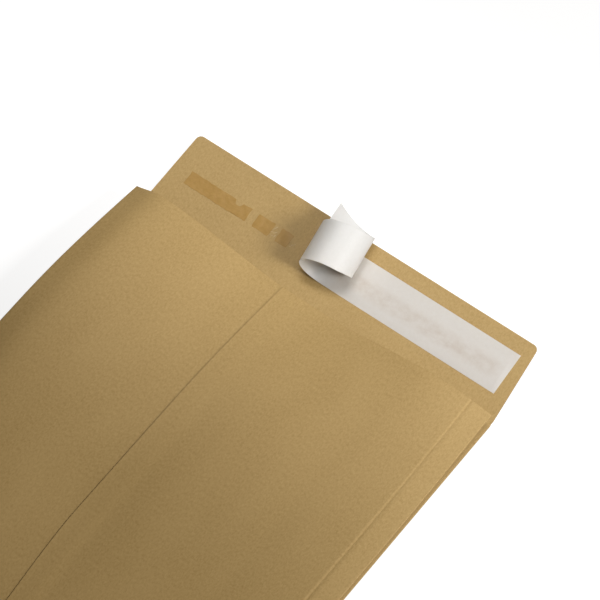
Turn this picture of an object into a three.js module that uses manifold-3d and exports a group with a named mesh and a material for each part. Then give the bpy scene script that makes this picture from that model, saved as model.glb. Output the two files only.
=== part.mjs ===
// A gusseted envelope of brown kraft paper, lying on its front panel with the flap opened out.
// One folded sheet makes the front, the two side gussets, the back, the bottom flap and the
// top flap. A film of adhesive runs along the inside of the top flap, under a white release
// liner that is peeled off for a little under half of its length and has curled up.
// Units are millimetres. X runs along the mouth, Y from the bottom to the flap and Z is up.
// The origin is the middle of the front panel's outer face, and the crease of the top flap
// lies at Y = panelHeight / 2.
import * as THREE from 'three';
import { mergeVertices } from 'three/addons/utils/BufferGeometryUtils.js';
import Module from 'manifold-3d';

const wasm = await Module();
wasm.setup();

// The folded sheet
const panelWidth = 229;
const panelHeight = 324;
const sheetThickness = 0.25;
const foldRadius = 0.3; // to the middle of the sheet
const gussetFold = 15; // half of a gusset, from its outer fold to its inner fold
const seamFromLeft = 96.4; // free edge of the right half of the back, glued over the left half
const seamOverlap = 9;
const seamRunOut = 7; // length over which the upper layer comes down again
const mouthSetback = 3; // the back and the gussets stop this far short of the flap's crease

// Heights of the back panel above the front panel, at the mouth and inside the body
const leftFoldMouth = 14.4;
const leftFoldBody = 22;
const leftBendWidth = 17.6; // the soft bend that the opened gusset pushes up at the mouth
const leftBendMouth = 19.7;
const leftBendBody = 23.8;
const seamMouth = 5.9;
const seamBody = 13.3;
const hollowFromRight = 100;
const hollowMouth = 5.5;
const hollowBody = 12;
const rightBumpWidth = 39.5;
const rightBumpMouth = 14.2;
const rightBumpBody = 9.5;
const rightFoldMouth = 11;
const rightFoldBody = 6.5;
const leftFlareMouth = 1.9; // how far the back's left fold stands outside the front's
const leftFlareBody = 4.3;
const riseLength = 95; // from the mouth to the full height
const closeLength = 150; // from the full height down to the closed bottom

// Top flap and bottom flap
const flapDepth = 46;
const flapTaper = 4.1; // degrees, on each side
const flapCornerRadius = 3;
const flapLift = 14.4; // degrees above the front panel
const bottomFlapDepth = 24;
const bottomFlapInset = 4;
const bottomFlapGap = 0.1;

// Adhesive film on the flap
const adhesiveInset = 6.3; // from the liner's near edge to the film's near edge
const adhesiveWidth = 8;
const adhesiveThickness = 0.12;
const restGap = 0.1; // the film on the flap, and the liner on the film
const adhesiveEndInset = 13; // from the flap's side to the film's end, at the crease
const adhesiveBreaks = [40.2, 45, 55.7, 60.3]; // ends of the patches, from the film's left end
const adhesiveShortEnd = 67.7;
const notchWidth = 4;
const notchDepth = 3;
const notchFromBreak = 8.5;

// Release liner
const linerEdge = 8.8; // from the flap's outer edge to the liner's far edge
const linerWidth = 24.7;
const linerThickness = 0.1;
const linerHalfLength = 105.4;
const peelClearance = 2; // from the peel line to the film that is still covered

// The curl of the peeled liner, seen from its near edge. Its bend changes evenly between these radii
const peelLine = -3; // where the liner leaves the flap, from the middle of the flap
const curlSkew = 5.7; // degrees between the curl's axis and the liner's width
const liftLength = 12; // from the flap to the outer side of the curl
const liftRadius = 10.5;
const upperLength = 42; // over the outer side and the top
const upperRadius = 16.5;
const turnLength = 21; // down again and back under, tighter
const turnRadius = 8.3;
const innerLength = 22; // the end, opening out again inside the curl
const innerRadius = 60;
const innerDrift = 0.135; // sideways, for each millimetre after the top

// Steps of the round and free shapes
const foldSteps = 4;
const crossSteps = 26;
const bodyStations = 17;
const flatLinerStep = 40;
const curlStep = 1.6;
const linerRows = 4;

const rad = THREE.MathUtils.degToRad;
const linerStart = flapDepth - linerEdge - linerWidth; // from the crease
const adhesiveStart = linerStart + adhesiveInset;
const halfSheet = sheetThickness / 2;
const creaseY = panelHeight / 2;
const mouthY = creaseY - mouthSetback;
const bottomY = -panelHeight / 2;
const foldX = panelWidth / 2 - halfSheet - foldRadius; // middle of the front's side folds
const closedHeight = 6 * foldRadius; // of the back above the front, with the gussets shut
// The radius of the bottom fold's middle line: it goes round all the closed layers
const bottomTurn = (closedHeight + 2 * sheetThickness + bottomFlapGap) / 2;
const tubeEnd = bottomY + bottomTurn + halfSheet;

// Manifold helpers, for joining closed meshes only. Places are rounded to a ten-thousandth of a
// millimetre, so that faces meant to lie in one plane do
function toSolid(geometry) {
  const bare = new THREE.BufferGeometry();
  const round = (value) => Math.round(value * 1e4) / 1e4;
  const places = Array.from(geometry.getAttribute('position').array, round);
  bare.setAttribute('position', new THREE.Float32BufferAttribute(places, 3));
  if (geometry.index) bare.setIndex(geometry.index.clone());
  const merged = mergeVertices(bare, 1e-4);
  return new wasm.Manifold(new wasm.Mesh({
    numProp: 3,
    vertProperties: new Float32Array(merged.getAttribute('position').array),
    triVerts: new Uint32Array(merged.index.array),
  }));
}

function toGeometry(solid) {
  const mesh = solid.getMesh();
  const geometry = new THREE.BufferGeometry();
  geometry.setAttribute('position', new THREE.BufferAttribute(new Float32Array(mesh.vertProperties), 3));
  geometry.setIndex(new THREE.BufferAttribute(new Uint32Array(mesh.triVerts), 1));
  geometry.computeVertexNormals();
  return geometry;
}

function geometryOf(points, triangles) {
  const geometry = new THREE.BufferGeometry();
  geometry.setAttribute('position', new THREE.Float32BufferAttribute(points.flat(), 3));
  geometry.setIndex(triangles);
  return geometry;
}

// How far a height has gone from its value at the mouth to its value in the body
function openness(y) {
  const fromMouth = THREE.MathUtils.clamp((mouthY - y) / riseLength, 0, 1);
  return Math.sin((fromMouth * Math.PI) / 2);
}

function closing(y) {
  return THREE.MathUtils.smoothstep(y, bottomY + bottomFlapDepth, bottomY + closeLength);
}

function heightAt(y, atMouth, inBody) {
  const open = THREE.MathUtils.lerp(atMouth, inBody, openness(y));
  return THREE.MathUtils.lerp(closedHeight, open, closing(y));
}

// The back panel across the body: heights of the sheet's middle above that of the front panel
function backCurve(y) {
  const flare = THREE.MathUtils.lerp(leftFlareMouth, leftFlareBody, openness(y)) * closing(y) ** 2;
  const left = -foldX - flare;
  const right = foldX;
  const along = [
    [left, heightAt(y, leftFoldMouth, leftFoldBody)],
    [left + leftBendWidth, heightAt(y, leftBendMouth, leftBendBody)],
    [left + seamFromLeft, heightAt(y, seamMouth, seamBody)],
    [right - hollowFromRight, heightAt(y, hollowMouth, hollowBody)],
    [right - rightBumpWidth, heightAt(y, rightBumpMouth, rightBumpBody)],
    [right, heightAt(y, rightFoldMouth, rightFoldBody)],
  ];
  const knots = along.map(([x, z]) => new THREE.Vector3(x, halfSheet + z, 0));
  return new THREE.CatmullRomCurve3(knots, false, 'centripetal');
}

// One point of the sheet's middle line: place, heading and the distances to its two faces
function step(x, z, heading, outside = halfSheet, inside = halfSheet) {
  return { x, z, heading, outside, inside };
}

// A fold: the middle line turns on a small circle, left or right of its heading
function fold(centre, from, to, side) {
  const steps = [];
  for (let i = 0; i <= foldSteps; i += 1) {
    const heading = THREE.MathUtils.lerp(from, to, i / foldSteps);
    const x = centre.x + side * foldRadius * Math.sin(heading);
    const z = centre.y - side * foldRadius * Math.cos(heading);
    steps.push(step(x, z, heading));
  }
  return steps;
}

// A gusset between the front's fold and the back's fold, folded inwards in its middle
function gusset(frontFold, backFold, inward, headingIn, headingOut) {
  const middle = frontFold.clone().add(backFold).multiplyScalar(0.5);
  const half = frontFold.distanceTo(backFold) / 2;
  const depth = Math.sqrt(Math.max(gussetFold ** 2 - half ** 2, 0));
  const rise = backFold.clone().sub(frontFold).normalize();
  const valley = middle.add(new THREE.Vector2(-rise.y, rise.x).multiplyScalar(depth * inward));
  const skew = Math.asin((2 * foldRadius) / gussetFold);
  const ends = inward > 0 ? [frontFold, backFold] : [backFold, frontFold];
  const first = valley.clone().sub(ends[0]);
  const second = ends[1].clone().sub(valley);
  const turnIn = Math.atan2(first.y, first.x) + skew;
  const turnOut = Math.atan2(second.y, second.x) - skew;
  const unwrap = (angle, near) => angle + 2 * Math.PI * Math.round((near - angle) / (2 * Math.PI));
  const inHeading = unwrap(turnIn, headingIn + Math.PI * 0.9);
  const outHeading = unwrap(turnOut, inHeading - Math.PI * 0.9);
  const lastHeading = unwrap(headingOut, outHeading + Math.PI * 0.9);
  return [
    ...fold(ends[0], headingIn, inHeading, 1),
    ...fold(valley, inHeading, outHeading, -1),
    ...fold(ends[1], outHeading, lastHeading, 1),
  ];
}

// Extra thickness where the two halves of the back overlap, by distance from the left fold
function seamOutside(fromLeft) {
  const end = seamFromLeft + seamOverlap;
  if (fromLeft < seamFromLeft) return halfSheet;
  return halfSheet + sheetThickness * (1 - THREE.MathUtils.smoothstep(fromLeft, end, end + seamRunOut));
}

function seamInside(fromLeft) {
  const end = seamFromLeft + seamOverlap;
  if (fromLeft < end) return halfSheet;
  return halfSheet - sheetThickness * (1 - THREE.MathUtils.smoothstep(fromLeft, end, end + seamRunOut));
}

// Where the back is sampled, as distances from its left fold: evenly, and at the seam's edges
function backSpots() {
  const overlapEnd = seamFromLeft + seamOverlap;
  const slope = 0.02; // half the width of a cut edge's slope
  const marks = [seamFromLeft - slope, seamFromLeft + slope, overlapEnd - slope, overlapEnd + slope,
    overlapEnd + seamRunOut];
  const spacing = panelWidth / crossSteps;
  const even = Array.from({ length: crossSteps + 1 }, (_, i) => i * spacing);
  const clear = even.filter((spot) => marks.every((mark) => Math.abs(mark - spot) > spacing / 3));
  return clear.concat(marks).sort((a, b) => b - a);
}

// The middle line of the whole tube at one station, anticlockwise seen from the bottom
function crossSection(y) {
  const curve = backCurve(y);
  const across = backSpots().map((spot) => {
    const t = Math.min(spot / panelWidth, 1);
    const point = curve.getPointAt(t);
    const tangent = curve.getTangentAt(t);
    const heading = Math.atan2(-tangent.y, -tangent.x);
    return step(point.x, point.y, heading, seamOutside(spot), seamInside(spot));
  });
  const first = across[0];
  const last = across[across.length - 1];
  const centreOf = (s) => new THREE.Vector2(
    s.x - foldRadius * Math.sin(s.heading), s.z + foldRadius * Math.cos(s.heading));
  const frontRight = new THREE.Vector2(foldX, halfSheet + foldRadius);
  const frontLeft = new THREE.Vector2(-foldX, halfSheet + foldRadius);
  return [
    ...gusset(frontRight, centreOf(first), 1, 0, first.heading),
    ...across.slice(1, -1),
    ...gusset(frontLeft, centreOf(last), -1, last.heading, 0),
  ];
}

// The tube of front, gussets and back, from the mouth to the bottom
function bodyTube() {
  const points = [];
  const rows = [];
  for (let i = 0; i <= bodyStations; i += 1) {
    const along = (i / bodyStations) ** 1.15;
    const y = THREE.MathUtils.lerp(mouthY, tubeEnd, along);
    const line = crossSection(y);
    const offset = (s, distance) => [
      s.x + Math.sin(s.heading) * distance, y, s.z - Math.cos(s.heading) * distance];
    rows.push({ start: points.length, count: line.length });
    points.push(...line.map((s) => offset(s, s.outside)), ...line.map((s) => offset(s, -s.inside)));
  }
  const triangles = [];
  const quad = (a, b, c, d) => triangles.push(a, b, c, a, c, d);
  const count = rows[0].count;
  for (let k = 0; k < count; k += 1) {
    const next = (k + 1) % count;
    for (let i = 0; i < bodyStations; i += 1) {
      // Both faces of every layer are split along diagonals that lean the same way, so that the
      // sheet keeps its thickness and the layers stay apart where they twist
      const a = rows[i].start;
      const b = rows[i + 1].start;
      const leansIn = Math.abs(points[a + k][0]) > Math.abs(points[a + next][0]);
      if (leansIn) {
        quad(a + k, a + next, b + next, b + k);
        quad(a + count + k, b + count + k, b + count + next, a + count + next);
      } else {
        quad(a + next, b + next, b + k, a + k);
        quad(a + count + next, a + count + k, b + count + k, b + count + next);
      }
    }
    const mouth = rows[0].start;
    const end = rows[bodyStations].start;
    quad(mouth + next, mouth + k, mouth + count + k, mouth + count + next);
    quad(end + k, end + next, end + count + next, end + count + k);
  }
  return geometryOf(points, triangles);
}

// A flap is joined on by a slightly thinner root that reaches into the sheet of the front panel
const rootLength = 2;
const rootInset = 0.02;
const rootStep = 0.05; // from the tube's cut edge to where the root begins

// A profile drawn in Y and Z becomes a strip of this width along X, centred
function stripAcross(shape, width) {
  const geometry = new THREE.ExtrudeGeometry(shape, { depth: width, bevelEnabled: false, curveSegments: 6 });
  geometry.applyMatrix4(new THREE.Matrix4().makeBasis(
    new THREE.Vector3(0, 1, 0), new THREE.Vector3(0, 0, 1), new THREE.Vector3(1, 0, 0)));
  geometry.translate(-width / 2, 0, 0);
  return geometry;
}

// The bottom flap: folded up round the closed end and glued down on the back
function bottomFlap() {
  const inner = bottomTurn - halfSheet;
  const outer = bottomTurn + halfSheet;
  const shape = new THREE.Shape();
  const joint = tubeEnd - bottomY - rootStep;
  shape.moveTo(joint, 0);
  shape.lineTo(joint, rootInset);
  shape.lineTo(joint + rootLength, rootInset);
  shape.lineTo(joint + rootLength, sheetThickness - rootInset);
  shape.lineTo(joint, sheetThickness - rootInset);
  shape.lineTo(joint, sheetThickness);
  shape.lineTo(bottomTurn, sheetThickness);
  shape.absarc(bottomTurn, outer, inner, -Math.PI / 2, Math.PI / 2, true);
  shape.lineTo(bottomFlapDepth, outer + inner);
  shape.lineTo(bottomFlapDepth, 2 * outer);
  shape.lineTo(bottomTurn, 2 * outer);
  shape.absarc(bottomTurn, outer, outer, Math.PI / 2, -Math.PI / 2, false);
  return stripAcross(shape, panelWidth - 2 * bottomFlapInset).translate(0, bottomY, 0);
}

// Turns what was drawn flat, with the crease along X at Y = 0, up onto the lifted flap
function ontoFlap(geometry) {
  geometry.rotateX(rad(flapLift));
  geometry.translate(0, creaseY, 0);
  return geometry;
}

function flapEdgeInset(depth) {
  return depth * Math.tan(rad(flapTaper));
}

// The flap's outline, drawn flat; it reaches past its root too, because it trims the whole strip
function flapOutline() {
  const root = mouthSetback + 2 * rootLength;
  const outerHalf = foldX - flapEdgeInset(flapDepth);
  const cornerHalf = foldX - flapEdgeInset(flapDepth - flapCornerRadius);
  const corner = flapDepth - flapCornerRadius;
  const shape = new THREE.Shape();
  shape.moveTo(-foldX, -root);
  shape.lineTo(foldX, -root);
  shape.lineTo(foldX, 0);
  shape.lineTo(cornerHalf, corner);
  shape.quadraticCurveTo(outerHalf, flapDepth, outerHalf - flapCornerRadius, flapDepth);
  shape.lineTo(-outerHalf + flapCornerRadius, flapDepth);
  shape.quadraticCurveTo(-outerHalf, flapDepth, -cornerHalf, corner);
  shape.lineTo(-foldX, 0);
  shape.closePath();
  return shape;
}

// The strip from the mouth over the crease to past the flap's outer edge, trimmed to the outline
function topFlap() {
  const lift = rad(flapLift);
  const reach = flapDepth + 1;
  const joint = -mouthSetback + rootStep;
  const profile = new THREE.Shape();
  profile.moveTo(joint, 0);
  profile.lineTo(0, 0);
  profile.lineTo(reach * Math.cos(lift), reach * Math.sin(lift));
  profile.lineTo(reach * Math.cos(lift) - sheetThickness * Math.sin(lift),
    reach * Math.sin(lift) + sheetThickness * Math.cos(lift));
  profile.lineTo(-sheetThickness * Math.tan(lift / 2), sheetThickness);
  profile.lineTo(joint, sheetThickness);
  profile.lineTo(joint, sheetThickness - rootInset);
  profile.lineTo(joint - rootLength, sheetThickness - rootInset);
  profile.lineTo(joint - rootLength, rootInset);
  profile.lineTo(joint, rootInset);
  profile.closePath();
  const strip = stripAcross(profile, panelWidth).translate(0, creaseY, 0);
  const trimDepth = 6;
  const trimShape = { depth: trimDepth, bevelEnabled: false, curveSegments: 5 };
  const trim = new THREE.ExtrudeGeometry(flapOutline(), trimShape);
  trim.translate(0, 0, -trimDepth / 2);
  return toSolid(strip).intersect(toSolid(ontoFlap(trim)));
}

function envelopeSheet() {
  const tube = toSolid(bodyTube());
  return toGeometry(tube.add(topFlap()).add(toSolid(bottomFlap())));
}

// Adhesive film, drawn flat: a rectangle with a notch torn out of its far edge
function adhesivePatch(from, to, notchAt) {
  const far = adhesiveStart + adhesiveWidth;
  const shape = new THREE.Shape();
  shape.moveTo(from, adhesiveStart);
  shape.lineTo(to, adhesiveStart);
  shape.lineTo(to, far);
  if (notchAt !== undefined) {
    shape.lineTo(notchAt + notchWidth / 2, far);
    shape.lineTo(notchAt, far - notchDepth);
    shape.lineTo(notchAt - notchWidth / 2, far);
  }
  shape.lineTo(from, far);
  shape.closePath();
  const film = new THREE.ExtrudeGeometry(shape, { depth: adhesiveThickness, bevelEnabled: false });
  film.translate(0, 0, sheetThickness + restGap);
  return ontoFlap(film);
}

// The curl's path: lengths from the peel line, and how strongly the liner bends there
const curlLengths = [0, liftLength, upperLength, turnLength, innerLength];
const curlRuns = curlLengths.map((_, i) => curlLengths.slice(0, i + 1).reduce((sum, length) => sum + length));
const curlBends = [0, ...[liftRadius, upperRadius, turnRadius, innerRadius].map((radius) => 1 / radius)];

function bendAt(run) {
  const i = curlRuns.findIndex((end) => run < end);
  if (i < 0) return curlBends[curlBends.length - 1];
  return THREE.MathUtils.mapLinear(run, curlRuns[i - 1], curlRuns[i], curlBends[i - 1], curlBends[i]);
}

// Where the path is after a length from the peel line: along, up and heading
function curlPoint(run) {
  const steps = Math.max(Math.ceil(run / curlStep), 1) * 4;
  const length = Math.max(run, 0) / steps;
  let along = Math.min(run, 0);
  let up = 0;
  let heading = 0;
  for (let i = 0; i < steps; i += 1) {
    const turn = bendAt((i + 0.5) * length) * length;
    along += length * Math.cos(heading + turn / 2);
    up += length * Math.sin(heading + turn / 2);
    heading += turn;
  }
  return { along, up, heading };
}

// One point of the liner: run along its length from the peel line, place across its width
function linerPoint(run, across, above) {
  const skew = rad(curlSkew);
  const curled = run * Math.cos(skew) - across * Math.sin(skew);
  const drift = innerDrift * Math.max(curled - liftLength - upperLength, 0);
  const axis = run * Math.sin(skew) + across * Math.cos(skew) + drift;
  const { along, up, heading } = curlPoint(curled);
  const p = along - Math.sin(heading) * above;
  const x = peelLine - p * Math.cos(skew) - axis * Math.sin(skew);
  const v = axis * Math.cos(skew) - p * Math.sin(skew);
  const base = sheetThickness + 2 * restGap + adhesiveThickness;
  return [x, linerStart + linerWidth / 2 + v, base + up + Math.cos(heading) * above];
}

function releaseLiner() {
  const runs = [];
  const peeled = linerHalfLength + peelLine;
  const flat = linerHalfLength - peelLine;
  const flatCount = Math.ceil(flat / flatLinerStep);
  for (let i = 0; i < flatCount; i += 1) runs.push(-flat + (i * flat) / flatCount);
  const curlCount = Math.ceil(peeled / curlStep);
  for (let i = 0; i <= curlCount; i += 1) runs.push((i * peeled) / curlCount);
  const points = [];
  const ring = 2 * (linerRows + 1);
  for (const run of runs) {
    for (let k = 0; k <= linerRows; k += 1) {
      points.push(linerPoint(run, (k / linerRows - 0.5) * linerWidth, 0));
    }
    for (let k = linerRows; k >= 0; k -= 1) {
      points.push(linerPoint(run, (k / linerRows - 0.5) * linerWidth, linerThickness));
    }
  }
  const triangles = [];
  const quad = (a, b, c, d) => triangles.push(a, b, c, a, c, d);
  for (let i = 0; i < runs.length - 1; i += 1) {
    for (let k = 0; k < ring; k += 1) {
      const next = (k + 1) % ring;
      const a = i * ring;
      const b = a + ring;
      if (k < linerRows) quad(a + k, b + k, b + next, a + next);
      else quad(a + next, a + k, b + k, b + next);
    }
  }
  const last = (runs.length - 1) * ring;
  for (let k = 0; k < linerRows; k += 1) {
    quad(k, k + 1, ring - 2 - k, ring - 1 - k);
    quad(last + k + 1, last + k, last + ring - 1 - k, last + ring - 2 - k);
  }
  return ontoFlap(geometryOf(points, triangles));
}

const kraft = new THREE.MeshStandardMaterial({ color: 0xb8935c, roughness: 0.85, metalness: 0 });
const film = new THREE.MeshStandardMaterial({ color: 0xb28443, roughness: 0.35, metalness: 0 });
const silicone = new THREE.MeshStandardMaterial({ color: 0xece8e2, roughness: 0.5, metalness: 0 });

const gussetedEnvelope = new THREE.Group();

function addPiece(name, geometry, material) {
  const mesh = new THREE.Mesh(geometry, material);
  mesh.name = name;
  gussetedEnvelope.add(mesh);
}

const filmLeft = -panelWidth / 2 + adhesiveEndInset;
const [breakOne, resumeOne, breakTwo, resumeTwo] = adhesiveBreaks.map((run) => filmLeft + run);
const filmRight = linerHalfLength - adhesiveEndInset / 4;

addPiece('envelope_sheet', envelopeSheet(), kraft);
addPiece('adhesive_film_left', adhesivePatch(filmLeft, breakOne, breakOne - notchFromBreak), film);
addPiece('adhesive_film_middle', adhesivePatch(resumeOne, breakTwo), film);
addPiece('adhesive_film_short', adhesivePatch(resumeTwo, filmLeft + adhesiveShortEnd), film);
addPiece('adhesive_film_covered', adhesivePatch(peelLine + peelClearance, filmRight), film);
addPiece('release_liner', releaseLiner(), silicone);

export default gussetedEnvelope;
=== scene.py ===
# %% [markdown]
# # A gusseted envelope of brown kraft paper
# The envelope lies on its front with the flap opened out and lifted a little. A white release
# liner covers the adhesive on the flap, and half of it is peeled off and has curled up.
# The measured model is loaded first. It is the frame that everything here is fitted to.

# %% Load the frame
import math

import bmesh
import bpy
import numpy as np
from mathutils import Matrix, Vector, noise


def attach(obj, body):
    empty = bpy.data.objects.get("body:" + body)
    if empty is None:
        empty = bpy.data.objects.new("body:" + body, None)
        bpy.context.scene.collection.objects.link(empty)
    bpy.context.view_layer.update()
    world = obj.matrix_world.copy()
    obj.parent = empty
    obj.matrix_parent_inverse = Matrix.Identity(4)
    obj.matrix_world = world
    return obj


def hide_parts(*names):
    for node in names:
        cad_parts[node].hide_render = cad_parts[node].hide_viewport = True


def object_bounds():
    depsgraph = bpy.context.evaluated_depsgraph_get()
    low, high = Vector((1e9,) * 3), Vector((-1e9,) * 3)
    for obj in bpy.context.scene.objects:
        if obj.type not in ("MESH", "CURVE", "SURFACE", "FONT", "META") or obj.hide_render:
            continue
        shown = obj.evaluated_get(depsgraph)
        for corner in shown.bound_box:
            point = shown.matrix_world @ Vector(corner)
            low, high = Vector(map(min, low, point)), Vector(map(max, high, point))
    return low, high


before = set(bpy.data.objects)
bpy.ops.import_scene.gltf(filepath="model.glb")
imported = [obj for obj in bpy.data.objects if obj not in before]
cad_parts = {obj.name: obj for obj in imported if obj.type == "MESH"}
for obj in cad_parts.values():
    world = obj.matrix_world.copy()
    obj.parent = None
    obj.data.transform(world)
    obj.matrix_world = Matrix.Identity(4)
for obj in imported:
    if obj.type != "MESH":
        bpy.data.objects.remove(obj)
CAD_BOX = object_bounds()
MM = 0.001
print("CAD box", [round(v, 4) for corner in CAD_BOX for v in corner])

# %% [markdown]
# ## The sizes of the envelope
# All of these are in millimetres and repeat the measured model, so that the fine paper made
# here lies where the plain solid does. X runs along the mouth, Y towards the flap, Z is up.

# %% Sizes of the folded sheet
PANEL_WIDTH = 229.0
PANEL_HEIGHT = 324.0
PAPER = 0.25
FOLD_RADIUS = 0.3
GUSSET_FOLD = 15.0
MOUTH_SETBACK = 3.0
SEAM_FROM_LEFT = 96.4
SEAM_OVERLAP = 9.0
SEAM_RUN_OUT = 7.0
RISE_LENGTH = 95.0
CLOSE_LENGTH = 150.0
FLAP_DEPTH = 46.0
FLAP_TAPER = math.radians(4.1)
FLAP_LIFT = math.radians(14.4)
FLAP_CORNER = 3.0
BOTTOM_FLAP = 24.0
BOTTOM_INSET = 4.0

HALF = PAPER / 2
CREASE_Y = PANEL_HEIGHT / 2
MOUTH_Y = CREASE_Y - MOUTH_SETBACK
BOTTOM_Y = -PANEL_HEIGHT / 2
FOLD_X = PANEL_WIDTH / 2 - HALF - FOLD_RADIUS
CLOSED = 6 * FOLD_RADIUS
BOTTOM_TURN = (CLOSED + 2 * PAPER + 0.1) / 2
TUBE_END = BOTTOM_Y + BOTTOM_TURN + HALF
print("mouth at Y = %.1f mm, folds %.1f mm apart" % (MOUTH_Y, 2 * FOLD_X))

# %% Heights of the back
LEFT_FLARE = (1.9, 4.3)  # how far the left fold stands out, at the mouth and in the body
BACK_KNOTS = [  # side, distance in from it, height at the mouth, height in the body
    ("left", 0.0, 14.4, 22.0),
    ("left", 17.6, 19.7, 23.8),
    ("left", SEAM_FROM_LEFT, 5.9, 13.3),
    ("right", 100.0, 5.5, 12.0),
    ("right", 39.5, 14.2, 9.5),
    ("right", 0.0, 11.0, 6.5),
]
print(len(BACK_KNOTS), "heights across the back")

# %% [markdown]
# ## How the back panel bulges
# Air and the opened gussets push the back up, most of all on the left. A few heights across
# the panel are joined by a smooth line, and the heights change from the mouth to the body and
# fall to nothing at the glued bottom. A centripetal curve is used because it doesn't swing
# out between points that stand at uneven distances.

# %% How far the back is open, and how it closes
def openness(y):
    """From 0 at the mouth to 1 where the body has its full height."""
    along = min(max((MOUTH_Y - y) / RISE_LENGTH, 0.0), 1.0)
    return math.sin(along * math.pi / 2)


def closing(y):
    """From 1 in the open body to 0 at the glued bottom."""
    along = (y - (BOTTOM_Y + BOTTOM_FLAP)) / (CLOSE_LENGTH - BOTTOM_FLAP)
    along = min(max(along, 0.0), 1.0)
    return along * along * (3 - 2 * along)


print("half way down, the back has %.2f of its height" % closing(0.0))


# %% A smooth line through a few knots
def smooth_line(knots, per_span=24):
    """Points of a centripetal curve through the knots."""
    knots = [np.array(k) for k in knots]
    ends = [2 * knots[0] - knots[1]] + knots + [2 * knots[-1] - knots[-2]]
    points = []
    for p0, p1, p2, p3 in zip(ends, ends[1:], ends[2:], ends[3:]):
        d0, d1, d2 = (float(np.linalg.norm(b - a)) ** 0.5
                      for a, b in ((p0, p1), (p1, p2), (p2, p3)))
        leave = ((p1 - p0) / d0 - (p2 - p0) / (d0 + d1) + (p2 - p1) / d1) * d1
        arrive = ((p2 - p1) / d1 - (p3 - p1) / (d1 + d2) + (p3 - p2) / d2) * d1
        for t in np.arange(per_span) / per_span:
            points.append(p1 + leave * t + (3 * (p2 - p1) - 2 * leave - arrive) * t ** 2
                          + (2 * (p1 - p2) + leave + arrive) * t ** 3)
    return np.array(points + [knots[-1]])


print(len(smooth_line([(0, 0), (1, 1), (3, 0)])), "points on a line through three knots")


# %% The line of the back at one place along the envelope
def back_line(y):
    """The middle of the back's paper across the envelope, from the left fold, with distances."""
    opened, shut = openness(y), closing(y)
    flare = (LEFT_FLARE[0] + (LEFT_FLARE[1] - LEFT_FLARE[0]) * opened) * shut ** 2
    left, right = -FOLD_X - flare, FOLD_X
    knots = []
    for side, across, at_mouth, in_body in BACK_KNOTS:
        x = left + across if side == "left" else right - across
        height = CLOSED + (at_mouth + (in_body - at_mouth) * opened - CLOSED) * shut
        knots.append((x, HALF + height))
    line = smooth_line(knots)
    steps = np.linalg.norm(np.diff(line, axis=0), axis=1)
    return line, np.concatenate([[0.0], np.cumsum(steps)])


line, run = back_line(MOUTH_Y)
print("back at the mouth: %.1f mm round, %.1f mm high" % (run[-1], line[:, 1].max()))

# %% [markdown]
# ## The folded sheet as one path
# Cut across, the body of the envelope is one strip of paper: it starts under the seam, runs
# left over the back, turns in and out through the left gusset, crosses the front, turns
# through the right gusset and ends on top of the seam. The same number of points is kept at
# every place along the envelope, so that a plain grid can be laid onto it.

# %% Where the points lie across the two halves of the back
FOLD_STEPS = 6
PANEL_STEPS = 5
LEFT_SPOTS = np.concatenate([
    [SEAM_FROM_LEFT + SEAM_OVERLAP, SEAM_FROM_LEFT + SEAM_OVERLAP / 2, SEAM_FROM_LEFT + 0.4,
     SEAM_FROM_LEFT - 0.4], np.linspace(SEAM_FROM_LEFT - 2, 2.0, 46)])
CREASE_INBOARD = 12.5  # the mark that the right gusset's inner fold presses into the back
RIGHT_SPOTS = np.concatenate([
    np.linspace(PANEL_WIDTH - 1.5, PANEL_WIDTH - 10.5, 6),
    PANEL_WIDTH - CREASE_INBOARD + np.array([1.2, 0.8, 0.4, 0.0, -0.4, -0.8, -1.2]),
    np.linspace(PANEL_WIDTH - 15, SEAM_FROM_LEFT + SEAM_OVERLAP + SEAM_RUN_OUT, 52),
    SEAM_FROM_LEFT + SEAM_OVERLAP + SEAM_RUN_OUT * np.array([0.75, 0.5, 0.25, 0.0]),
    SEAM_FROM_LEFT + SEAM_OVERLAP * np.array([0.75, 0.5, 0.25, 0.08, 0.0])])
FRONT_STEPS = 76
print("%d points on the left half, %d on the right" % (len(LEFT_SPOTS), len(RIGHT_SPOTS)))

# %% The glued seam
SEAM_LIFT = PAPER + 0.03
SEAM_EDGE_LIFT = 0.05  # the free edge stands a little off the glue
SEAM_LOOSE = 2.5  # the width of paper that stands off


def seam_rise(spot):
    """How far the right half of the back lies above the left half, by distance across."""
    t = (spot - SEAM_FROM_LEFT - SEAM_OVERLAP) / SEAM_RUN_OUT
    t = min(max(t, 0.0), 1.0)
    loose = max(0.0, 1 - (spot - SEAM_FROM_LEFT) / SEAM_LOOSE)
    return SEAM_LIFT * (1 - t * t * (3 - 2 * t)) + SEAM_EDGE_LIFT * loose ** 2


print("the free edge's middle lies %.2f mm above the left half's" % seam_rise(SEAM_FROM_LEFT))


# %% A point on the back, and which way the paper runs there
def back_point(line, run, spot, rise):
    at = spot / PANEL_WIDTH * run[-1]
    ahead, behind = min(at + 0.5, run[-1]), max(at - 0.5, 0.0)
    point = np.array([np.interp(at, run, line[:, k]) for k in (0, 1)])
    way = np.array([np.interp(ahead, run, line[:, k]) - np.interp(behind, run, line[:, k])
                    for k in (0, 1)])
    way /= np.linalg.norm(way)
    return point + np.array([-way[1], way[0]]) * rise, math.atan2(-way[1], -way[0])


print("the back's left fold at the mouth:", back_point(line, run, 0.0, 0.0)[0].round(1))


# %% Round folds and the straight paper between them
def fold_points(centre, first, last, side):
    angles = first + (last - first) * np.arange(FOLD_STEPS + 1) / FOLD_STEPS
    return [(centre[0] + side * FOLD_RADIUS * math.sin(a),
             centre[1] - side * FOLD_RADIUS * math.cos(a)) for a in angles]


def between(a, b, steps):
    return [tuple(np.array(a) + (np.array(b) - np.array(a)) * i / steps)
            for i in range(1, steps)]


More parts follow.
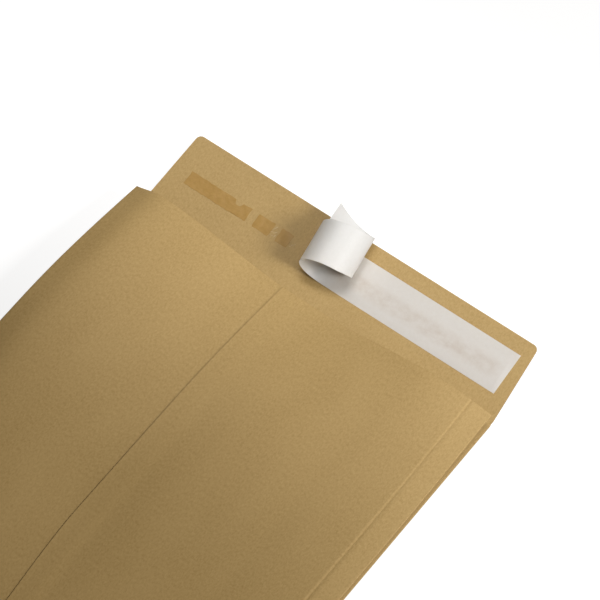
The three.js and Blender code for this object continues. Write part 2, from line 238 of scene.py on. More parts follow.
def near_turn(angle, wanted):
    """The same direction, counted in the turn that lies nearest to the wanted angle."""
    return angle + 2 * math.pi * round((wanted - angle) / (2 * math.pi))


print(FOLD_STEPS + 1, "points round each fold")

# %% [markdown]
# ## The gussets
# A gusset is a side wall that is folded inwards along its middle, so that the envelope lies
# flat when it is empty. It has two small panels and three folds: one on the front, one on the
# back and one that points inwards. The two panels have a fixed width, so how deep the inner
# fold lies follows from how far the outer two stand apart.


# %% Two panels and three folds
def gusset_points(first, last, heading_in, heading_out):
    """The two small panels of a gusset, folded in between two outer folds."""
    first, last = np.array(first), np.array(last)
    half = np.linalg.norm(last - first) / 2
    depth = math.sqrt(max(GUSSET_FOLD ** 2 - half ** 2, 0.0))
    tilt = (last - first) / (2 * half)
    valley = (first + last) / 2 + depth * np.array([-tilt[1], tilt[0]])
    skew = math.asin(2 * FOLD_RADIUS / GUSSET_FOLD)
    into, out = valley - first, last - valley
    turn_in = near_turn(math.atan2(into[1], into[0]) + skew, heading_in + math.pi * 0.9)
    turn_out = near_turn(math.atan2(out[1], out[0]) - skew, turn_in - math.pi * 0.9)
    turn_end = near_turn(heading_out, turn_out + math.pi * 0.9)
    one = fold_points(first, heading_in, turn_in, 1)
    two = fold_points(valley, turn_in, turn_out, -1)
    three = fold_points(last, turn_out, turn_end, 1)
    return (one + between(one[-1], two[0], PANEL_STEPS) + two
            + between(two[-1], three[0], PANEL_STEPS) + three)


def fold_centre(point, heading):
    return (point[0] - FOLD_RADIUS * math.sin(heading),
            point[1] + FOLD_RADIUS * math.cos(heading))


print(3 * (FOLD_STEPS + 1) + 2 * (PANEL_STEPS - 1), "points in each gusset")


# %% The whole path at one place
def section(y):
    """The middle of the paper all the way round at one place, and how far round each point is."""
    line, run = back_line(y)
    left_half = [back_point(line, run, spot, 0.0)[0] for spot in LEFT_SPOTS]
    edge, heading = back_point(line, run, 0.0, 0.0)
    front_left = (-FOLD_X, HALF + FOLD_RADIUS)
    front_right = (FOLD_X, HALF + FOLD_RADIUS)
    left = gusset_points(fold_centre(edge, heading), front_left, heading, 0.0)
    edge, heading = back_point(line, run, PANEL_WIDTH, 0.0)
    right = gusset_points(front_right, fold_centre(edge, heading), 0.0, heading)
    front = between(left[-1], right[0], FRONT_STEPS)
    right_half = [back_point(line, run, spot, seam_rise(spot))[0] for spot in RIGHT_SPOTS]
    path = [tuple(p) for p in left_half] + left + front + right + [tuple(p) for p in right_half]
    first_front = len(left_half) + len(left) - 1
    return np.array(path), first_front, first_front + FRONT_STEPS


path, FRONT_FIRST, FRONT_LAST = section(MOUTH_Y)
COLUMNS = len(path)
print(COLUMNS, "points across, the front from", FRONT_FIRST, "to", FRONT_LAST)

# %% [markdown]
# ## Laying a grid onto the path
# The whole envelope is one sheet, so it is made from one grid. Its columns follow the path
# across and its rows run from the mouth to the bottom. The flap and the bottom flap belong to
# the front panel, so they are extruded from its two ends, row by row. Each point also gets
# its place on the flat sheet, which later carries the paper's fibres round the folds.

# %% Rows along the body
ROWS = 122
ROW_Y = [MOUTH_Y + (TUBE_END - MOUTH_Y) * i / (ROWS - 1) for i in range(ROWS)]
COLUMN_RUN = np.concatenate([[0.0], np.cumsum(np.linalg.norm(np.diff(path, axis=0), axis=1))])
# Painted shadow: the kraft is darkened over the last half millimetre of the sheet, at the seam's
# free cut edge.
PAINTED_SHADOW_FROM = (COLUMN_RUN[-1] - 0.5) * MM
print(ROWS, "rows, and %.1f mm of paper once round" % COLUMN_RUN[-1])

# %% Waves and marks in the paper
BROAD_WAVE, NARROW_WAVE = 0.30, 0.07
RIDGE_HEIGHT, RIDGE_REACH = 1.5, 50
GROOVE_DEPTH, GROOVE_WIDTH = 0.32, 0.7
FADE_COLUMNS = 8  # the waves fade out over these columns next to the outer folds


def cockle(x, y):
    """The faint waves of handled paper, in millimetres."""
    broad = noise.noise(Vector((x / 46, y / 70, 3.7)))
    narrow = noise.noise(Vector((x / 17, y / 24, 8.1)))
    return BROAD_WAVE * broad + NARROW_WAVE * narrow


def gusset_mark(inboard):
    """The back over the right gusset's inner fold: a ridge with a fine groove on it."""
    falling = (RIDGE_REACH - inboard) / (RIDGE_REACH - CREASE_INBOARD)
    ridge = min(inboard / CREASE_INBOARD, max(0.0, falling))
    groove = math.exp(-((inboard - CREASE_INBOARD) / GROOVE_WIDTH) ** 2)
    return RIDGE_HEIGHT * ridge - GROOVE_DEPTH * groove


print("the mark of the gusset stands %.2f mm up" % gusset_mark(CREASE_INBOARD))


# %% Lay the grid onto the path
def body_point(column, row, sections):
    x, z = sections[row][column]
    y = ROW_Y[row]
    if column < len(LEFT_SPOTS):
        z += cockle(x, y) * min(1.0, (len(LEFT_SPOTS) - column) / FADE_COLUMNS) * closing(y)
    elif column >= COLUMNS - len(RIGHT_SPOTS):
        edge = column - (COLUMNS - len(RIGHT_SPOTS))
        z += cockle(x, y) * min(1.0, edge / FADE_COLUMNS) * closing(y)
        z += gusset_mark(PANEL_WIDTH / 2 - x) * closing(y)
    return Vector((x, y, z))


sheet = bmesh.new()
bmesh.ops.create_grid(sheet, x_segments=COLUMNS - 1, y_segments=ROWS - 1, size=1.0)
sections = [section(y)[0] for y in ROW_Y]
flat = {}
grid = {}
for vert in list(sheet.verts):
    column = round((vert.co.x + 1) / 2 * (COLUMNS - 1))
    row = round((1 - vert.co.y) / 2 * (ROWS - 1))
    vert.co = body_point(column, row, sections) * MM
    flat[vert] = (COLUMN_RUN[column] * MM, ROW_Y[row] * MM)
    grid[column, row] = vert
print(len(sheet.verts), "points in the body of the sheet")

# %% [markdown]
# ## The two flaps
# The top flap leaves the front at the crease, stands up a little and gets narrower towards
# its outer edge, where the corners are rounded. The bottom flap goes round the closed end
# and lies glued on the back. Each row is a copy of the row before, pushed to its place.

# %% Rows of the top flap
def flap_rows_top():
    """For each row of the top flap: Y, Z, half the width, and the distance on the flat sheet."""
    rows = [(MOUTH_Y + s, HALF, FOLD_X, MOUTH_Y + s) for s in (1.0, 2.0, 2.6)]
    bend = 0.35  # half the length of the bend at the crease
    for part in (0.25, 0.5, 0.75):
        a = FLAP_LIFT * part
        along = -bend + 2 * bend * part
        rows.append((CREASE_Y + along, HALF + 0.5 * math.sin(a) * bend * part,
                     FOLD_X, CREASE_Y + along))
    straight = np.linspace(0.6, FLAP_DEPTH - FLAP_CORNER, 36)
    corner = FLAP_DEPTH - FLAP_CORNER * (1 - np.sin(np.linspace(0, math.pi / 2, 9)[1:]))
    for d in list(straight) + list(corner):
        half = FOLD_X - d * math.tan(FLAP_TAPER)
        over = max(d - (FLAP_DEPTH - FLAP_CORNER), 0.0)
        half -= FLAP_CORNER - math.sqrt(max(FLAP_CORNER ** 2 - over ** 2, 0.0))
        y = CREASE_Y + d * math.cos(FLAP_LIFT) - HALF * math.sin(FLAP_LIFT)
        z = d * math.sin(FLAP_LIFT) + HALF * math.cos(FLAP_LIFT)
        rows.append((y, z, half, CREASE_Y + d))
    return rows


print(len(flap_rows_top()), "rows in the top flap")

# %% Rows of the bottom flap
BOTTOM_SLANT = 0.35  # how fast the bottom flap gets narrower
BOTTOM_STRAIGHT = 1.5


def flap_rows_bottom():
    """The same for the bottom flap, which first turns round the closed end."""
    rows = [(TUBE_END - 0.3, HALF, FOLD_X, TUBE_END - 0.3)]
    far = BOTTOM_Y + BOTTOM_TURN
    wide = PANEL_WIDTH / 2 - BOTTOM_INSET
    for i in range(9):
        a = math.pi * i / 8
        rows.append((far - BOTTOM_TURN * math.sin(a), HALF + BOTTOM_TURN * (1 - math.cos(a)),
                     wide, far - BOTTOM_TURN * a))
    top = HALF + 2 * BOTTOM_TURN
    for s in np.linspace(BOTTOM_STRAIGHT, BOTTOM_FLAP - BOTTOM_TURN, 14):
        half = wide - BOTTOM_SLANT * max(s - BOTTOM_STRAIGHT, 0.0)
        rows.append((far + s, top, half, far - BOTTOM_TURN * math.pi - s))
    return rows


print(len(flap_rows_bottom()), "rows in the bottom flap")


# %% Extrude a flap from one end of the front panel
def grow_flap(first_row, rows):
    """Extrudes the front panel's end edge once for each row."""
    front = [grid[c, first_row] for c in range(FRONT_FIRST, FRONT_LAST + 1)]
    share = [v.co.x / (FOLD_X * MM) for v in front]
    for y, z, half, far in rows:
        edges = [sheet.edges.get((a, b)) for a, b in zip(front, front[1:])]
        made = bmesh.ops.extrude_edge_only(sheet, edges=edges)["geom"]
        new = [g for g in made if isinstance(g, bmesh.types.BMVert)]
        joined = {}
        for vert in new:
            for edge in vert.link_edges:
                joined[edge.other_vert(vert)] = vert
        front = [joined[v] for v in front]
        for vert, s in zip(front, share):
            vert.co = Vector((s * half, y, z)) * MM
            flat[vert] = (COLUMN_RUN[FRONT_FIRST] * MM + (s * half + FOLD_X) * MM, far * MM)
    return front


outer_edge = grow_flap(0, flap_rows_top())
grow_flap(ROWS - 1, flap_rows_bottom())
print("flap's outer edge at", [round(v / MM, 1) for v in outer_edge[0].co])

# %% [markdown]
# ## From a surface to paper
# A bmesh becomes an object here. The flat places are written to a UV map, the cut edges are
# marked sharp so that they shade as cut edges, and Solidify gives the paper its thickness
# on both sides of the middle.

# %% Turn a bmesh into a sheet of paper
def paper_object(name, mesh, places, thickness):
    uv = mesh.loops.layers.uv.new("flat")
    for face in mesh.faces:
        face.smooth = True
        for loop in face.loops:
            loop[uv].uv = places[loop.vert]
    for edge in mesh.edges:
        if edge.is_boundary:
            edge.smooth = False
    data = bpy.data.meshes.new(name)
    mesh.to_mesh(data)
    mesh.free()
    piece = bpy.data.objects.new(name, data)
    bpy.context.scene.collection.objects.link(piece)
    solid = piece.modifiers.new("thickness", "SOLIDIFY")
    solid.thickness = thickness * MM
    solid.offset = 0.0
    print(name, len(data.polygons), "faces before its thickness")
    return piece


kraft_sheet = paper_object("kraft_sheet", sheet, flat, PAPER)
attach(kraft_sheet, "root")
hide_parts("envelope_sheet")

# %% [markdown]
# ## The release liner
# The liner lies flat on the adhesive up to the peel line. From there it leaves the flap,
# goes up and over in a loose scroll and ends inside it. How strongly it bends changes evenly
# along its length, as it does in paper that was wound up once. The scroll's axis is a few
# degrees off the liner's width, and the inner end drifts sideways.

# %% Sizes of the liner and of its scroll
LINER_EDGE = 8.8
LINER_WIDTH = 24.7
LINER_THICKNESS = 0.1
LINER_HALF = 105.4
FILM_THICKNESS = 0.12
REST_GAP = 0.1
PEEL_LINE = -3.0
PEELED = LINER_HALF + PEEL_LINE  # how much of the liner is off the film
CURL_SKEW = math.radians(5.7)
CURL_RUNS = np.cumsum([0, 12, 42, 21, 22])
CURL_BENDS = np.array([0, 1 / 10.5, 1 / 16.5, 1 / 8.3, 1 / 60])
INNER_FROM = CURL_RUNS[2]
INNER_DRIFT = 0.135
LINER_START = FLAP_DEPTH - LINER_EDGE - LINER_WIDTH
LINER_BASE = PAPER + 2 * REST_GAP + FILM_THICKNESS + LINER_THICKNESS / 2
print("the liner is %.1f by %.1f mm" % (2 * LINER_HALF, LINER_WIDTH))

# %% The scroll, from its bends
STEP = 0.1
SCROLL_LENGTH = 125
runs = np.arange(0, SCROLL_LENGTH, STEP)
bends = np.interp(runs + STEP / 2, CURL_RUNS, CURL_BENDS)
headings = np.concatenate([[0.0], np.cumsum(bends * STEP)])[:-1]
middle = headings + bends * STEP / 2
ALONG = np.concatenate([[0.0], np.cumsum(np.cos(middle) * STEP)])[:-1]
UP = np.concatenate([[0.0], np.cumsum(np.sin(middle) * STEP)])[:-1]
print("the scroll is %.1f mm high" % UP[runs < PEELED].max())


# %% Places on the lifted flap
def on_flap(x, depth, height):
    """A place drawn flat on the flap, turned up onto it."""
    return Vector((x, CREASE_Y + depth * math.cos(FLAP_LIFT) - height * math.sin(FLAP_LIFT),
                   depth * math.sin(FLAP_LIFT) + height * math.cos(FLAP_LIFT))) * MM


def smooth_step(value, start, end):
    t = min(max((value - start) / (end - start), 0.0), 1.0)
    return t * t * (3 - 2 * t)


print("the flap's outer edge is %.1f mm up" % (on_flap(0, FLAP_DEPTH, 0).z / MM))

# %% One point of the liner
SETTLE = 0.29  # how far the liner sinks where there is no film under it


def settle(run, across):
    """How far the laid liner sinks onto the flap where there is no film under it."""
    over_film = smooth_step(across, -12.0, -7.0) * (1 - smooth_step(across, 3.0, 10.0))
    over_film *= smooth_step(run, -LINER_HALF + PEEL_LINE, -LINER_HALF + PEEL_LINE + 3.0)
    return -SETTLE * (1 - over_film) * (1 - smooth_step(run, -9.0, 0.0))


def liner_point(run, across):
    curled = run * math.cos(CURL_SKEW) - across * math.sin(CURL_SKEW)
    axis = run * math.sin(CURL_SKEW) + across * math.cos(CURL_SKEW)
    axis += INNER_DRIFT * max(curled - INNER_FROM, 0.0)
    along = curled if curled < 0 else float(np.interp(curled, runs, ALONG))
    up = settle(run, across) if curled < 0 else float(np.interp(curled, runs, UP))
    x = PEEL_LINE - along * math.cos(CURL_SKEW) - axis * math.sin(CURL_SKEW)
    depth = LINER_START + LINER_WIDTH / 2 + axis * math.cos(CURL_SKEW) - along * math.sin(CURL_SKEW)
    return on_flap(x, depth, LINER_BASE + up)


print("the peeled end is at", [round(v / MM, 1) for v in liner_point(PEELED, 0.0)])

# %% Grid, path and thickness
LINER_COLUMNS, LINER_ROWS = 261, 15
liner = bmesh.new()
bmesh.ops.create_grid(liner, x_segments=LINER_COLUMNS - 1, y_segments=LINER_ROWS - 1, size=1.0)
liner_flat = {}
for vert in liner.verts:
    share = (vert.co.x + 1) / 2
    run = -(LINER_HALF - PEEL_LINE) + share * 2 * LINER_HALF
    across = vert.co.y * LINER_WIDTH / 2
    liner_flat[vert] = (run * MM, across * MM)
    vert.co = liner_point(run, across)
release_strip = paper_object("release_strip", liner, liner_flat, LINER_THICKNESS)
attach(release_strip, "root")
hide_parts("release_liner")

# %% [markdown]
# ## The adhesive that shows
# Where the liner has come off, the adhesive film lies bare on the flap. The liner took some
# of it away, so it ends in patches with slightly ragged edges and a notch in the first one.
# Each patch is a fine grid whose outer rows are pushed in and out by a noise.

# %% Patches of film
FILM_NEAR = LINER_START + 6.3
FILM_WIDTH = 8.0
FILM_LEFT = -PANEL_WIDTH / 2 + 13.0
FILM_HEIGHT = PAPER + REST_GAP + 0.03
FILM_THIN = 0.06  # the thickness of the bare film
NOTCH_WIDTH, NOTCH_DEPTH = 5.0, 2.6


def ragged(place, seed):
    slow = noise.noise(Vector((place / 2.3, seed, 0.5)))
    fast = noise.noise(Vector((place / 0.7, seed, 4.5)))
    return 0.32 * slow + 0.14 * fast


print("a ragged edge strays %.2f mm at one place" % ragged(-69.0, 1.3))


# %% One patch
def film_patch(name, node, start, end, seed, notch=None):
    """A ragged rectangle of film from start to end, measured from the film's left end."""
    across, deep = max(int((end - start) / 0.3), 12), 26
    mesh = bmesh.new()
    bmesh.ops.create_grid(mesh, x_segments=across, y_segments=deep, size=1.0)
    places = {}
    for vert in mesh.verts:
        s, t = (vert.co.x + 1) / 2, (vert.co.y + 1) / 2
        near, far = FILM_NEAR, FILM_NEAR + FILM_WIDTH
        x = FILM_LEFT + start + (end - start) * s
        near += ragged(x, seed)
        far += ragged(x, seed + 5.0)
        if notch is not None:
            gone = max(0.0, 1 - (abs(x - FILM_LEFT - notch) / (NOTCH_WIDTH / 2)) ** 4)
            far -= NOTCH_DEPTH * gone
        depth = near + (far - near) * t
        x += ragged(depth, seed + 9.0) * (1.0 if s > 0.5 else -1.0) * abs(2 * s - 1) ** 3
        places[vert] = (x * MM, depth * MM)
        vert.co = on_flap(x, depth, FILM_HEIGHT)
    film = paper_object(name, mesh, places, FILM_THIN)
    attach(film, "root")
    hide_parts(node)
    return film


films = [  # name, node, start and end from the film's left end, seed
    film_patch("bare_adhesive_left", "adhesive_film_left", 0.0, 40.2, 1.3, notch=32.0),
    film_patch("bare_adhesive_middle", "adhesive_film_middle", 45.0, 55.7, 2.9),
    film_patch("bare_adhesive_short", "adhesive_film_short", 60.3, 67.7, 6.1),
]

# %% [markdown]
# ## Torn threads of adhesive
# At the end of each peel the film stretched into thin threads that dried on the flap. Their pale
# colour, much paler than the film, is a painted glint on these real threads.
# They are small drops pulled long, laid between the patches.

# %% Threads and drops
THREADS = [  # place along the film, depth, length, width, turn in degrees
    (-44.6, 24.9, 3.0, 0.38, 62), (-43.4, 22.6, 2.6, 0.34, 48), (-45.2, 22.2, 2.2, 0.3, 20),
    (-42.6, 21.0, 1.8, 0.42, 80), (-44.0, 20.4, 1.3, 0.3, 5), (-31.6, 21.9, 1.7, 0.34, 40),
    (-30.6, 22.9, 1.1, 0.3, 75), (-32.2, 20.6, 0.9, 0.32, 15),
]
THREAD_HEIGHT = 0.16
drops = bmesh.new()
for x, depth, length, width, turn in THREADS:
    made = bmesh.ops.create_icosphere(drops, subdivisions=2, radius=0.5)["verts"]
    size = Matrix.Diagonal((length, width, THREAD_HEIGHT, 1.0))
    place = Matrix.Translation((x, depth, PAPER + 0.06))
    place = place @ Matrix.Rotation(math.radians(turn), 4, "Z")
    for vert in made:
        local = place @ size @ vert.co
        local.z += 0.05 * noise.noise(Vector((local.x * 3, local.y * 3, 0)))
        vert.co = on_flap(local.x, local.y, local.z)
for face in drops.faces:
    face.smooth = True

# %% The threads as an object
thread_data = bpy.data.meshes.new("adhesive_threads")
drops.to_mesh(thread_data)
drops.free()
adhesive_threads = bpy.data.objects.new("adhesive_threads", thread_data)
bpy.context.scene.collection.objects.link(adhesive_threads)
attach(adhesive_threads, "root")
print(len(THREADS), "threads of adhesive")

# %% [markdown]
# ## Materials
# Every finish is built from noise, so it needs no picture. A small helper adds nodes and
# links them, and keeps each recipe short enough to read.

# %% A helper for node recipes
class Recipe:
    """Builds one material; each call adds a node and returns it."""

    def __init__(self, name):
        self.material = bpy.data.materials.new(name)
        self.material.use_nodes = True
        self.tree = self.material.node_tree
        self.shader = self.tree.nodes["Principled BSDF"]

    def add(self, kind, **settings):
        node = self.tree.nodes.new("ShaderNode" + kind)
        for key, value in settings.items():
            if key.startswith("in_"):
                key = key[3:]
                key = int(key) if key.isdigit() else key.replace("_", " ")
                if isinstance(value, bpy.types.NodeSocket):
                    self.tree.links.new(value, node.inputs[key])
                else:
                    node.inputs[key].default_value = value
            else:
                setattr(node, key, value)
        return node

    def link(self, output, socket):
        self.tree.links.new(output, socket)

    def finish(self, *pieces):
        """Puts the material on its pieces."""
        for piece in pieces:
            piece.data.materials.append(self.material)
        print(self.material.name, "has", len(self.tree.nodes), "nodes")

    def relief(self, height, strength, distance):
        """Fine bumps in the surface."""
        bump = self.add("Bump", in_Height=height)
        bump.inputs["Strength"].default_value = strength
        bump.inputs["Distance"].default_value = distance
        self.link(bump.outputs[0], self.shader.inputs["Normal"])

    def sheet_place(self, scale):
        """The place on the flat sheet, scaled."""
        uv = self.add("UVMap", uv_map="flat")
        return self.add("Mapping", in_Vector=uv.outputs["UV"], in_Scale=scale).outputs[0]

    def grain(self, scale, size, detail=3.0, rough=0.6):
        node = self.add("TexNoise", in_Vector=self.sheet_place(scale), in_Scale=size,
                        in_Detail=detail, in_Roughness=rough)
        return node.outputs["Fac"]

    def ramp(self, value, low, high, to_low=0.0, to_high=1.0):
        node = self.add("MapRange", in_Value=value)
        for name, number in (("From Min", low), ("From Max", high),
                             ("To Min", to_low), ("To Max", to_high)):
            node.inputs[name].default_value = number
        return node.outputs["Result"]

    def math(self, operation, a, b):
        node = self.add("Math", operation=operation)
        for index, value in enumerate((a, b)):
            if isinstance(value, (int, float)):
                node.inputs[index].default_value = value
            else:
                self.link(value, node.inputs[index])
        return node.outputs[0]

    def blend(self, share, first, second, way="MIX"):
        node = self.add("Mix", data_type="RGBA", blend_type=way)
        for index, value in ((0, share), (6, first), (7, second)):
            if isinstance(value, bpy.types.NodeSocket):
                self.link(value, node.inputs[index])
            else:
                node.inputs[index].default_value = value
        return node.outputs[2]


print("a recipe can", ", ".join(sorted(n for n in vars(Recipe) if not n.startswith("_"))))

# %% [markdown]
# ### Brown kraft
# Kraft is made of long unbleached fibres. Seen close it is a mottle of light and dark
# clouds a millimetre or two across, with finer fibres over them and a rare dark speck. Its
# glazed side has a weak, wide sheen.

# %% Clouds and fibres
KRAFT = (0.480, 0.323, 0.124, 1.0)
KRAFT_DARKER = (0.372, 0.240, 0.082, 1.0)
KRAFT_LIGHT = (0.565, 0.393, 0.168, 1.0)
kraft = Recipe("brown_kraft")
clouds = kraft.ramp(kraft.grain((1.0, 1.0, 1.0), 540.0, 4.0, 0.62), 0.36, 0.66)
broad = kraft.ramp(kraft.grain((1.0, 0.6, 1.0), 38.0, 2.0, 0.5), 0.34, 0.68)
fibres = kraft.ramp(kraft.grain((1.0, 0.45, 1.0), 1250.0, 3.0, 0.75), 0.34, 0.66)
tone = kraft.blend(kraft.math("MULTIPLY", clouds, 0.56), KRAFT_DARKER, KRAFT)
tone = kraft.blend(kraft.math("MULTIPLY", fibres, 0.50), tone, KRAFT_LIGHT)
tone = kraft.blend(kraft.math("MULTIPLY", broad, 0.16), tone, KRAFT_LIGHT)
print("kraft from", KRAFT_DARKER[:3], "to", KRAFT_LIGHT[:3])

# %% Painted shadow along the seam's cut edge, and the specks
SEAM_PAINTED_SHADOW = (0.17, 0.10, 0.035, 1.0)
SPECK = (0.13, 0.07, 0.03, 1.0)
uv = kraft.add("UVMap", uv_map="flat")
across = kraft.add("SeparateXYZ", in_Vector=uv.outputs["UV"]).outputs["X"]
# Painted shadow: a thin dark line at the seam's free cut edge, where the step of the seam throws
# its shade.
painted_seam_shadow = kraft.ramp(across, PAINTED_SHADOW_FROM, PAINTED_SHADOW_FROM + 0.0003)
tone = kraft.blend(kraft.math("MULTIPLY", painted_seam_shadow, 0.28), tone, SEAM_PAINTED_SHADOW)
cells = kraft.add("TexVoronoi", in_Vector=kraft.sheet_place((1, 1, 1)), in_Scale=110.0)
speck = kraft.ramp(cells.outputs["Distance"], 0.028, 0.05, 1.0, 0.0)
chance = kraft.add("SeparateColor", in_Color=cells.outputs["Color"]).outputs[0]
speck = kraft.math("MULTIPLY", speck, kraft.math("GREATER_THAN", chance, 0.93))
tone = kraft.blend(kraft.math("MULTIPLY", speck, 0.55), tone, SPECK)
kraft.link(tone, kraft.shader.inputs["Base Color"])
print("the cut edge starts %.1f mm round the sheet" % (PAINTED_SHADOW_FROM / MM))

# %% Sheen and relief of the kraft
kraft.shader.inputs["Specular IOR Level"].default_value = 0.35
kraft.link(kraft.ramp(clouds, 0.0, 1.0, 0.66, 0.56), kraft.shader.inputs["Roughness"])
height = kraft.math("ADD", kraft.math("MULTIPLY", clouds, 0.6), kraft.math("MULTIPLY", fibres, 0.4))
kraft.relief(height, 0.12, 0.00012)
kraft.finish(kraft_sheet)

# %% [markdown]
# ### Release paper
# The liner is thin white paper with a smooth silicone face. Where it lies on the flap the
# brown below greys it, and a mottled band shows where the adhesive touches it. Curled up in
# the air it is whiter.

# %% Where the liner is laid down, and where the film touches it
WHITE = (0.73, 0.720, 0.695, 1.0)
LAID = (0.725, 0.665, 0.597, 1.0)
GLUED = (0.565, 0.460, 0.370, 1.0)
paper = Recipe("white_release_paper")
uv = paper.add("UVMap", uv_map="flat")
place = paper.add("SeparateXYZ", in_Vector=uv.outputs["UV"])
laid = paper.ramp(place.outputs["X"], -0.004, 0.006, 1.0, 0.0)
near = paper.ramp(place.outputs["Y"], -0.0078, -0.0040)
far = paper.ramp(place.outputs["Y"], 0.0010, 0.0048, 1.0, 0.0)
ends = paper.ramp(place.outputs["X"], -0.106, -0.099)
touching = paper.ramp(paper.grain((0.7, 1.0, 1.0), 210.0, 4.0, 0.6), 0.38, 0.68)
band = paper.math("MULTIPLY", paper.math("MULTIPLY", near, far), ends)
band = paper.math("MULTIPLY", paper.math("MULTIPLY", band, laid),
                  paper.ramp(touching, 0.0, 1.0, 0.3, 1.0))
print("release paper from", GLUED[:3], "to", WHITE[:3])

# %% White release paper
FLUFF = (0.90, 0.89, 0.88, 1.0)
pulp = paper.ramp(paper.grain((1.0, 1.0, 1.0), 520.0, 4.0, 0.6), 0.35, 0.68)
tone = paper.blend(laid, WHITE, LAID)
tone = paper.blend(paper.math("MULTIPLY", band, 0.60), tone, GLUED)
tone = paper.blend(paper.math("MULTIPLY", pulp, 0.10), tone, FLUFF)
paper.link(tone, paper.shader.inputs["Base Color"])
paper.shader.inputs["Roughness"].default_value = 0.46
paper.shader.inputs["Specular IOR Level"].default_value = 0.4
paper.shader.inputs["Subsurface Weight"].default_value = 0.6
paper.shader.inputs["Subsurface Radius"].default_value = (1.0, 0.97, 0.93)
paper.shader.inputs["Subsurface Scale"].default_value = 0.0006
paper.relief(pulp, 0.08, 0.0001)
paper.finish(release_strip)

# %% [markdown]
# ### Adhesive
# Hot-melt adhesive soaks the kraft a little and dries amber. The film is thin and uneven,
# so its colour varies, and it shines more than the paper.

# %% Amber adhesive
AMBER = (0.405, 0.233, 0.047, 1.0)
AMBER_DEEP = (0.360, 0.202, 0.038, 1.0)
amber = Recipe("amber_adhesive")
pools = amber.ramp(amber.grain((1.0, 1.0, 1.0), 330.0, 3.0, 0.55), 0.36, 0.66)
tone = amber.blend(pools, AMBER_DEEP, AMBER)
amber.link(tone, amber.shader.inputs["Base Color"])
amber.link(amber.ramp(pools, 0.0, 1.0, 0.5, 0.38), amber.shader.inputs["Roughness"])
amber.shader.inputs["Specular IOR Level"].default_value = 0.35
amber.relief(pools, 0.25, 0.0002)
amber.finish(*films)

# %% The covered film
covered = Recipe("covered_adhesive")
spots = covered.add("TexCoord")
pools = covered.add("TexNoise", in_Vector=spots.outputs["Object"], in_Scale=330.0)
tone = covered.blend(pools.outputs["Fac"], AMBER_DEEP, AMBER)
covered.link(tone, covered.shader.inputs["Base Color"])
covered.shader.inputs["Roughness"].default_value = 0.4
hidden_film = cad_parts["adhesive_film_covered"]
hidden_film.data.materials.clear()
covered.finish(hidden_film)

# %% Threads, whose pale colour is a painted glint
THREAD_PAINTED_GLINT = (0.64, 0.52, 0.34, 1.0)
THREAD_DEEP = (0.52, 0.37, 0.19, 1.0)
threads = Recipe("adhesive_threads_painted_glint")
spots = threads.add("TexCoord")
glint_noise = threads.add("TexNoise", in_Vector=spots.outputs["Object"], in_Scale=900.0)
# Painted highlight: the noise spreads a pale glint colour over the threads.
tone = threads.blend(glint_noise.outputs["Fac"], THREAD_DEEP, THREAD_PAINTED_GLINT)
threads.link(tone, threads.shader.inputs["Base Color"])
threads.shader.inputs["Roughness"].default_value = 0.28
threads.finish(adhesive_threads)

# %% [markdown]
# ## The floor
# The floor is pale and keeps the envelope's shadow. A light of its own, seen only by the
# camera and in reflections, makes its open parts white without lighting the paper.

# %% A plain floor
FLOOR_BELOW = 0.0002
floor_mesh = bmesh.new()
bmesh.ops.create_grid(floor_mesh, x_segments=1, y_segments=1, size=3.0)
bmesh.ops.translate(floor_mesh, verts=floor_mesh.verts, vec=(0, 0, CAD_BOX[0].z - FLOOR_BELOW))
floor_data = bpy.data.meshes.new("floor")
floor_mesh.to_mesh(floor_data)
floor_mesh.free()
floor = bpy.data.objects.new("floor", floor_data)
bpy.context.scene.collection.objects.link(floor)
print("floor at Z = %.4f m" % (CAD_BOX[0].z - FLOOR_BELOW))

# %% Its material
FLOOR_GLOW = 0.80
ground = Recipe("white_floor")
ground.shader.inputs["Base Color"].default_value = (0.36, 0.36, 0.36, 1.0)
ground.shader.inputs["Roughness"].default_value = 0.9
ground.shader.inputs["Specular IOR Level"].default_value = 0.0
rays = ground.add("LightPath")
seen = ground.math("MAXIMUM", rays.outputs["Is Camera Ray"], rays.outputs["Is Glossy Ray"])
seen = ground.math("MAXIMUM", seen, rays.outputs["Is Transmission Ray"])
glow = ground.add("Emission")
glow.inputs["Color"].default_value = (1, 1, 1, 1)
ground.link(ground.math("MULTIPLY", seen, FLOOR_GLOW), glow.inputs["Strength"])
both = ground.add("AddShader")
ground.link(ground.shader.outputs[0], both.inputs[0])
ground.link(glow.outputs[0], both.inputs[1])
ground.link(both.outputs[0], ground.tree.nodes["Material Output"].inputs["Surface"])
ground.finish(floor)

# %% [markdown]
# ## Light
# The room gives a weak warm light from everywhere, and the camera sees it as white. A soft
# key lamp stands to the right and throws the curl's shadow along the flap. A weak lamp lower
# on the same side reaches the folds, and a long narrow lamp over the flap makes the mouth
# brighter than the bottom, as in the photograph.

# %% The room
ROOM_LIGHT = 0.11
world = bpy.data.worlds.new("studio")
bpy.context.scene.world = world
world.use_nodes = True
tree = world.node_tree
sky = tree.nodes["Background"]
rays = tree.nodes.new("ShaderNodeLightPath")
tint = tree.nodes.new("ShaderNodeMix")
tint.data_type = "RGBA"
tint.inputs[6].default_value = (1.0, 0.86, 0.70, 1)
tint.inputs[7].default_value = (1.0, 1.0, 1.0, 1)
tree.links.new(rays.outputs["Is Camera Ray"], tint.inputs[0])
tree.links.new(tint.outputs[2], sky.inputs["Color"])
strength = tree.nodes.new("ShaderNodeMapRange")
tree.links.new(rays.outputs["Is Camera Ray"], strength.inputs["Value"])
strength.inputs["To Min"].default_value = ROOM_LIGHT
strength.inputs["To Max"].default_value = 1.0
tree.links.new(strength.outputs["Result"], sky.inputs["Strength"])
print("the room lights the envelope with strength", ROOM_LIGHT)

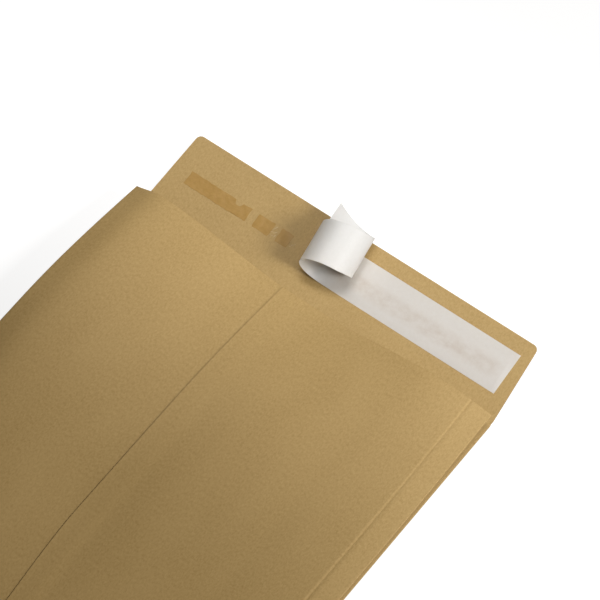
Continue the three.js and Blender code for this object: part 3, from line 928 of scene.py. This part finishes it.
# %% The camera's directions
REFERENCE = Vector((0.0, 0.142, 0.0))
AZIMUTH, ELEVATION = math.radians(36.88), math.radians(58.62)
RIGHT = Vector((math.cos(AZIMUTH), math.sin(AZIMUTH), 0))
BACK = Vector((math.sin(AZIMUTH) * math.cos(ELEVATION), -math.cos(AZIMUTH) * math.cos(ELEVATION),
               math.sin(ELEVATION)))
ABOVE = BACK.cross(RIGHT)
print("the camera looks from", [round(v, 3) for v in BACK])


# %% Lamps
def soft_lamp(name, direction, distance, size, power, spread=180.0, aim=REFERENCE):
    """A square lamp that shines at a place on the envelope from a direction."""
    lamp = bpy.data.lights.new(name, "AREA")
    lamp.energy = power
    lamp.size = size
    lamp.spread = math.radians(spread)
    holder = bpy.data.objects.new(name, lamp)
    way = Vector(direction).normalized()
    holder.location = Vector(aim) + way * distance
    holder.rotation_euler = way.to_track_quat("Z", "Y").to_euler()
    bpy.context.scene.collection.objects.link(holder)
    return holder


soft_lamp("key", (1.0, 0.0, 0.80), 1.5, 0.42, 16.2)
soft_lamp("side", (1.0, -0.05, 0.24), 1.5, 0.32, 1.9)
strip = soft_lamp("strip", (0.0, 0.0, 1.0), 0.44, 0.50, 0.17, spread=50.0, aim=(-0.04, 0.195, 0.0))
strip.data.shape = "RECTANGLE"
strip.data.size_y = 0.06
print("lamps:", ", ".join(lamp.name for lamp in bpy.data.lights))

# %% [markdown]
# ## Camera
# The camera's angles, lens and shift were matched to the photograph. It stands far off with
# a long lens, so the envelope shows little perspective.

# %% Camera at the photograph's angle
CAMERA_DISTANCE = 2.5
lens = bpy.data.cameras.new("camera")
lens.sensor_width = 36.0
lens.lens = 287.4
lens.shift_x = 0.0110
lens.shift_y = 0.0583
camera = bpy.data.objects.new("camera", lens)
bpy.context.scene.collection.objects.link(camera)
turn = Matrix((RIGHT, ABOVE, BACK)).transposed()
camera.matrix_world = Matrix.Translation(REFERENCE + BACK * CAMERA_DISTANCE) @ turn.to_4x4()
bpy.context.scene.camera = camera
bpy.context.scene.view_settings.view_transform = "Standard"
print("a %.1f mm lens at %.1f m" % (lens.lens, CAMERA_DISTANCE))

# %% [markdown]
